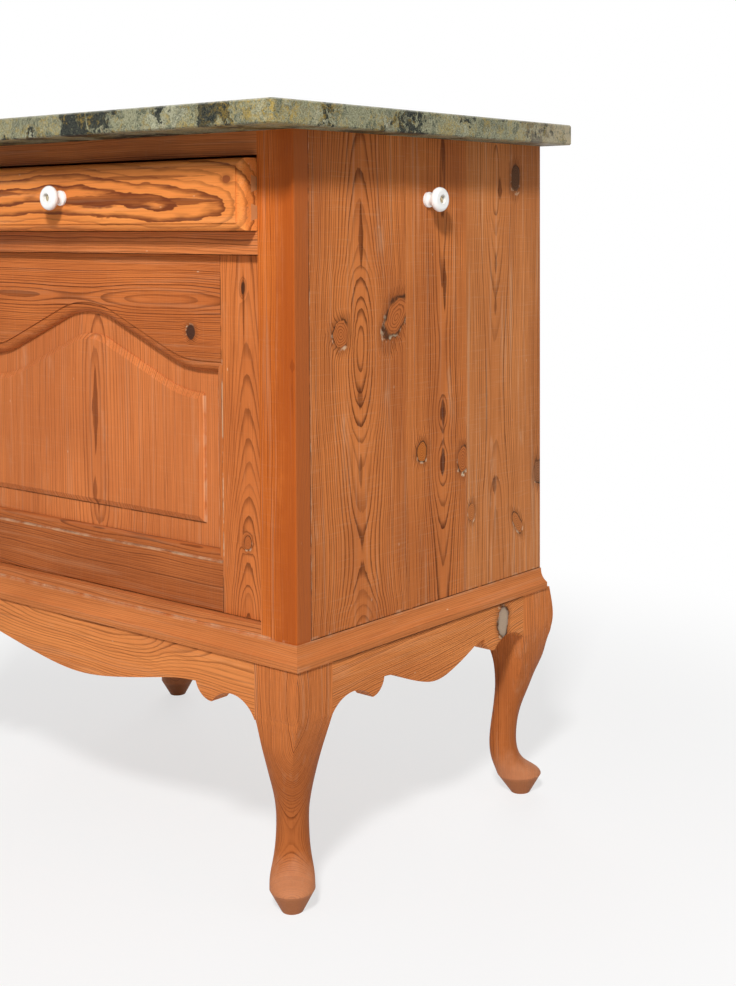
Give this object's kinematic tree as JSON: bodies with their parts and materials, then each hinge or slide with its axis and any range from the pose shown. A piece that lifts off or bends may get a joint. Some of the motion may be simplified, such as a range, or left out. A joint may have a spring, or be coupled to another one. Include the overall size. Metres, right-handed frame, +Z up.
{
  "type": "washstand cabinet",
  "caption": "Small wooden washstand on cabriole legs, with a stone slab top, a drawer over a cupboard with an arched raised-panel door, and scalloped aprons.",
  "frame": {"origin": "on the floor, under the centre of the piece's overall box", "axes": "+X to the viewer's right, -Y towards the front where the door and drawer open, +Z up"},
  "size_m": [0.732, 0.4974, 0.795],
  "materials": {
    "marble": "honed breccia with dark clasts",
    "post_pine": "worn waxed pine",
    "side_pine": "worn waxed pine",
    "rail_pine": "worn waxed pine",
    "moulding_pine": "worn waxed pine",
    "apron_pine": "worn waxed pine",
    "leg_pine": "worn waxed pine",
    "drawer_pine": "polished pine",
    "door_pine": "worn waxed pine",
    "panel_pine": "worn waxed pine",
    "inner_pine": "bare sawn pine",
    "porcelain": "glossy white glaze",
    "knob_screw": "dulled",
    "hinge_brass": "dulled",
    "lock_iron": "aged",
    "escutcheon_brass": "worn",
    "key_iron": "aged"
  },
  "bodies": {
    "cabinet": {"marble_slab": "marble", "post_right": "post_pine", "post_left": "post_pine", "side_board_right_1": "side_pine", "side_board_right_2": "side_pine", "side_board_right_3": "side_pine", "side_board_left_1": "side_pine", "side_board_left_2": "side_pine", "side_board_left_3": "side_pine", "back_board_1": "inner_pine", "back_board_2": "inner_pine", "back_board_3": "inner_pine", "top_rail": "rail_pine", "drawer_rail": "rail_pine", "bottom_rail": "rail_pine", "cabinet_floor": "inner_pine", "top_rear_rail": "inner_pine", "top_cleat_right": "inner_pine", "top_cleat_left": "inner_pine", "drawer_runner_right": "inner_pine", "drawer_runner_left": "inner_pine", "drawer_guide_right": "inner_pine", "drawer_guide_left": "inner_pine", "base_moulding_front": "moulding_pine", "base_moulding_right": "moulding_pine", "base_moulding_left": "moulding_pine", "base_rear_rail": "inner_pine", "apron_front": "apron_pine", "apron_right": "apron_pine", "apron_left": "apron_pine", "apron_rear": "inner_pine", "glue_blocks": "inner_pine", "leg_front_right": "leg_pine", "leg_front_left": "leg_pine", "leg_rear_right": "leg_pine", "leg_rear_left": "leg_pine", "towel_knob": "porcelain", "towel_knob_screw": "knob_screw", "hinge_post_leaf_1": "hinge_brass", "hinge_post_leaf_2": "hinge_brass"},
    "drawer": {"drawer_front": "drawer_pine", "drawer_side_right": "inner_pine", "drawer_side_left": "inner_pine", "drawer_back": "inner_pine", "drawer_bottom": "inner_pine", "drawer_knob": "porcelain", "drawer_knob_screw": "knob_screw"},
    "door": {"door_stile_right": "door_pine", "door_stile_left": "door_pine", "door_rail_top": "door_pine", "door_rail_bottom": "door_pine", "door_panel": "panel_pine", "hinge_door_leaf_1": "hinge_brass", "hinge_door_leaf_2": "hinge_brass", "lock_case": "lock_iron", "escutcheon": "escutcheon_brass"},
    "key": {"key": "key_iron"},
    "lock_bolt": {"lock_bolt": "lock_iron"}
  },
  "joints": [
    {"name": "drawer_slide", "type": "slide", "parent": "cabinet", "child": "drawer", "axis": [0, -1, 0], "range_m": [0, 0.3]},
    {"name": "door_hinge", "type": "hinge", "parent": "cabinet", "child": "door", "pos_m": [0.2731, -0.1722, 0.46765], "axis": [0, 0, 1], "range_deg": [0, 105]},
    {"name": "key_turn", "type": "hinge", "parent": "door", "child": "key", "pos_m": [-0.2453, -0.1712, 0.462], "axis": [0, -1, 0], "range_deg": [0, 180]},
    {"name": "bolt_slide", "type": "slide", "parent": "door", "child": "lock_bolt", "axis": [1, 0, 0], "range_m": [-0.0085, 0]}
  ],
  "couplings": [
    {"joint": "bolt_slide", "follows": "key_turn", "m_per_rad": -0.0027}
  ]
}
